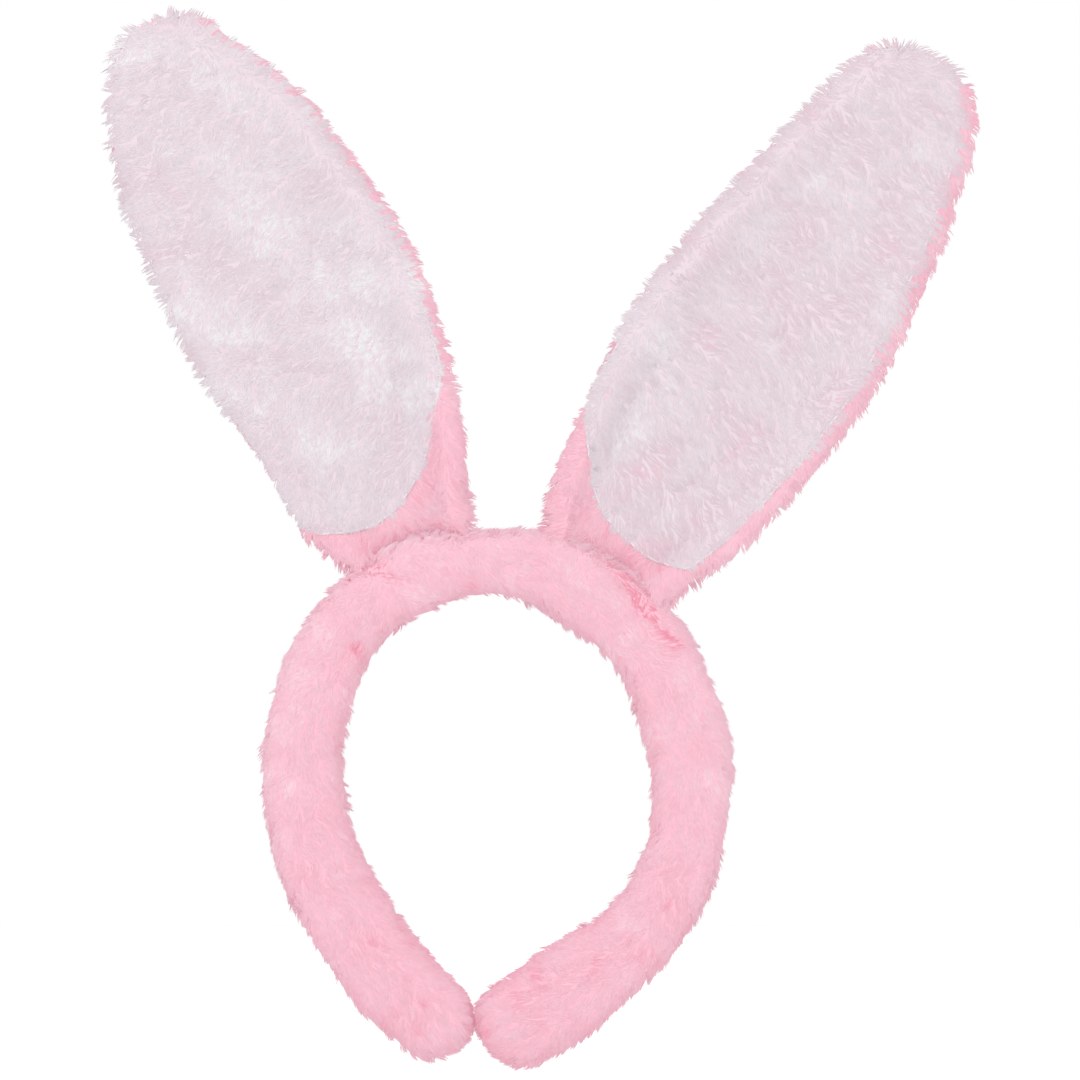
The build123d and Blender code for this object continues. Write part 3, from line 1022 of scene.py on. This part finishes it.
def ear_pieces(side):
    """One ear: its padded body, white panel, seam, pile, wadding, wire and stitches."""
    seed = EAR_SEEDS[side]
    ear = Ear(side)
    skin = ear_skin(ear)
    panel, left, right, border = front_panel(ear, skin)
    wave = ripple(seed, 13.0)
    fine = ripple(seed + 1, 5.0)
    top = ear.local(coords(skin.data))[:, 1].max()

    def under_panel(points, out):
        x, y, _ = ear.local(points).T
        inside = (x > left(y) + PANEL_MARGIN) & (x < right(y) - PANEL_MARGIN)
        inside &= (y > ear.panel_bottom + PANEL_MARGIN) & (y < top - 2.0)
        return inside & (dot(out, ear.forward) > 0.1)

    def hidden_rim(points, out):
        """The rim where the white pile hangs over the edge, on the left and at the top."""
        x, y, _ = ear.local(points).T
        beside = (x < left(y) + 2.0) & (left(y) > ear.white_left(y) + 0.1)
        beside |= y > top - 3.0
        return beside & (dot(out, ear.forward) > -0.35)

    def back_flow(points, out):
        """Down the ear, outwards and backwards, and forwards over the band at its base."""
        x, y, _ = ear.local(points).T
        sideways = np.tanh(x / 18.0) * 0.55 + 0.3 * wave(points)
        ahead = 1.6 * smoothstep(1.0 - y / 12.0) - 0.5
        return ear.x_axis * sideways[:, None] - ear.y_axis * 0.8 + ear.forward * ahead[:, None]

    def front_flow(points, out):
        """Across the ear towards its outer side, more downwards near its base, and over its rim."""
        x, y, _ = ear.local(points).T
        down = 0.35 + 0.7 * smoothstep(1.0 - y / 60.0) + 0.25 * wave(points)
        sideways = 0.9 * -ear.inner + 2.0 * smoothstep(1.0 - (right(y) - x) / 7.0)
        sideways -= 2.0 * smoothstep(1.0 - (x - left(y)) / 7.0)
        down -= 2.0 * smoothstep(1.0 - (top - y) / 9.0)
        return ear.x_axis * sideways[:, None] - ear.y_axis * down[:, None]

    def pink_tint(points, out):
        """Deeper pink at the base: painted shade where the ear meets the band."""
        # Painted shade: the tint darkens over the ear's lowest 30 mm.
        low = smoothstep(1.0 - ear.local(points)[:, 1] / 30.0)
        return 0.56 + 0.11 * wave(points) + 0.04 * fine(points) - 0.14 * low

    def white_tint(points, out):
        """Whiter low down on the inner side, and darker with painted shade at the rim, at the base
        and in folds.
        """
        x, y, _ = ear.local(points).T
        light = ear.whiteness + 0.16 * wave(points) + 0.05 * fine(points)
        light += 0.13 * smoothstep(ear.inner * x / 20.0) * smoothstep((110.0 - y) / 40.0)
        # Painted shade: darker near the rim in the ear's upper part.
        rim = np.minimum(np.minimum(x - left(y), right(y) - x), top - y)
        light -= 0.12 * smoothstep(1.0 - rim / 9.0) * smoothstep((y - 60.0) / 60.0)
        # Painted shade in the folds.
        light -= EAR_FOLD_SHADE * ear.fold_depth(points, out)
        # Painted shade near the base, where the ear meets the band.
        return light - 0.1 * smoothstep(1.0 - y / 40.0)

    def full(points, out):
        """Longer at the base, where it covers the stitches."""
        return 1.0 + 0.1 * wave(points) + 0.3 * smoothstep(1.0 - ear.local(points)[:, 1] / 8.0)

    def creased(points, out):
        """Shorter in folds, and along the panel's edge where it meets the pink pile."""
        x, y, _ = ear.local(points).T
        edge = np.minimum(np.minimum(x - left(y), right(y) - x), y - ear.panel_bottom)
        trimmed = 0.45 * smoothstep(1.0 - edge / 3.5) * smoothstep((65.0 - y) / 20.0)
        return 1.0 + 0.1 * wave(points) - EAR_FOLD_TRIM * ear.fold_depth(points, out) - trimmed

    tufts = [
        pile(
            f"{ear.body}_back_pile", skin.data, seed + 2,
            keep=lambda points, out: ~(under_panel(points, out) | hidden_rim(points, out)),
            flow=back_flow, tint=pink_tint, height=full, material="pink_pile",
        ),
        pile(
            f"{ear.body}_front_pile", panel.data, seed + 3,
            keep=lambda points, out: np.ones(len(points), bool),
            flow=front_flow, tint=white_tint, height=creased,
            material="white_pile",
        ),
    ]
    shell = panel.modifiers.new("shell", "SOLIDIFY")
    shell.thickness = PANEL_THICKNESS * MM
    shell.offset = -1.0
    bake_modifiers(panel)

    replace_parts(dress(skin, "pink_plush"), f"{ear.body}_back_panel")
    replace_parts(dress(panel, "white_plush"), f"{ear.body}_front_panel")
    seam = dress(thread(f"{ear.body}_panel_seam", border, THREAD_RADIUS * MM), "white_thread")
    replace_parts(seam, f"{ear.body}_edge_seam")
    wadding = remeshed(f"{ear.body}_wadding", [f"{ear.body}_padding"], WADDING_VOXEL)
    bend_inside(ear, wadding, "padding", "ear_wadding", WADDING_SHRINK)
    wire = finer_copy(f"{ear.body}_wire_loop", WIRE_EDGE)
    bend_inside(ear, wire, "wire_loop", "ear_wire", WIRE_SHRINK, lift=BASE_DROP)
    for piece in (skin, panel, wadding):
        piece.visible_diffuse = False  # so the light reaches down to the ear's base
    for piece in (skin, panel, seam, wadding, wire, *tufts):
        ear.blend(piece)
    sunk_stitches(ear)


def sunk_stitches(ear):
    """The stitches at the ear's base, drawn down into the pile."""
    node = frame["nodes"][f"{ear.body}_base_stitches"]
    mesh = node.data.copy()
    obj = new_object(f"{ear.body}_sewn_stitches", mesh)
    points = coords(mesh)
    radius = np.linalg.norm(points[:, [0, 2]], axis=1, keepdims=True)
    points[:, [0, 2]] *= 1.0 - PILE_RISE * MM / radius
    set_coords(mesh, points)
    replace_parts(dress(obj, "pink_thread"), node.name)
    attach(obj, "crown")


# ---- Studio ----
VIEW_CENTRE = (15.3, 64.5)  # what the middle of the picture looks at
VIEW_SPAN = 340.2
SENSOR_WIDTH = 36.0
FLOOR_GAP = 14.0  # the tips swing down by 11 mm as the arms open
# These are metres.
CAMERA_DISTANCE = 3.0
FLOOR_RADIUS = 1.4
AIM = (0.0, 0.0, 0.08)
LIGHTS = {  # place, size, and power in watts
    "key": ((-0.9, -1.6, 1.3), 1.2, 10.0),
    "fill": ((1.4, -1.2, 0.3), 1.4, 3.0),
    "rear": ((0.4, 1.8, 1.2), 1.4, 6.0),
}


def studio():
    """The camera straight in front, a plain pale floor, and soft light."""
    camera_data = bpy.data.cameras.new("camera")
    camera = new_object("camera", camera_data)
    camera.location = (VIEW_CENTRE[0] * MM, -CAMERA_DISTANCE, VIEW_CENTRE[1] * MM)
    camera.rotation_euler = (math.radians(90.0), 0.0, 0.0)
    camera_data.sensor_width = SENSOR_WIDTH
    camera_data.lens = SENSOR_WIDTH * CAMERA_DISTANCE / (VIEW_SPAN * MM)
    camera_data.clip_end = 20.0
    SCENE.camera = camera

    bpy.ops.mesh.primitive_circle_add(vertices=96, radius=FLOOR_RADIUS, fill_type="NGON")
    floor = bpy.context.object
    floor.name = "floor"
    floor.location.z = cad_low.z - FLOOR_GAP * MM
    paper = Shader("paper", Roughness=0.9)
    stops = [(0.3, (250, 250, 250)), (0.7, (253, 253, 253))]
    paper.link(paper.ramp(paper.noise(8.0), stops), "Base Color")
    floor.data.materials.append(paper.material)

    world = bpy.data.worlds.new("studio")
    SCENE.world = world
    world.use_nodes = True
    background = world.node_tree.nodes["Background"]
    background.inputs["Color"].default_value = (1.0, 1.0, 1.0, 1.0)
    background.inputs["Strength"].default_value = 1.0
    for name, (place, size, power) in LIGHTS.items():
        soft_light(name, place, size, power)
    SCENE.view_settings.view_transform = "Standard"


def soft_light(name, place, size, power):
    """A round area light that points at the object."""
    data = bpy.data.lights.new(name, "AREA")
    data.shape = "DISK"
    data.size = size
    data.energy = power
    light = new_object(name, data)
    light.location = place
    aim = Vector(AIM) - light.location
    light.rotation_euler = aim.to_track_quat("-Z", "Y").to_euler()


# ---- Whole scene ----
band_pieces()
ear_pieces("left")
ear_pieces("right")
for body in ("crown", "left_arm", "right_arm"):
    dress(frame["nodes"][f"{body}_core_strip"], "core_plastic")
for side in ("left", "right"):
    dress(frame["nodes"][f"{side}_ear_wire_crimp"], "crimp_metal")
studio()
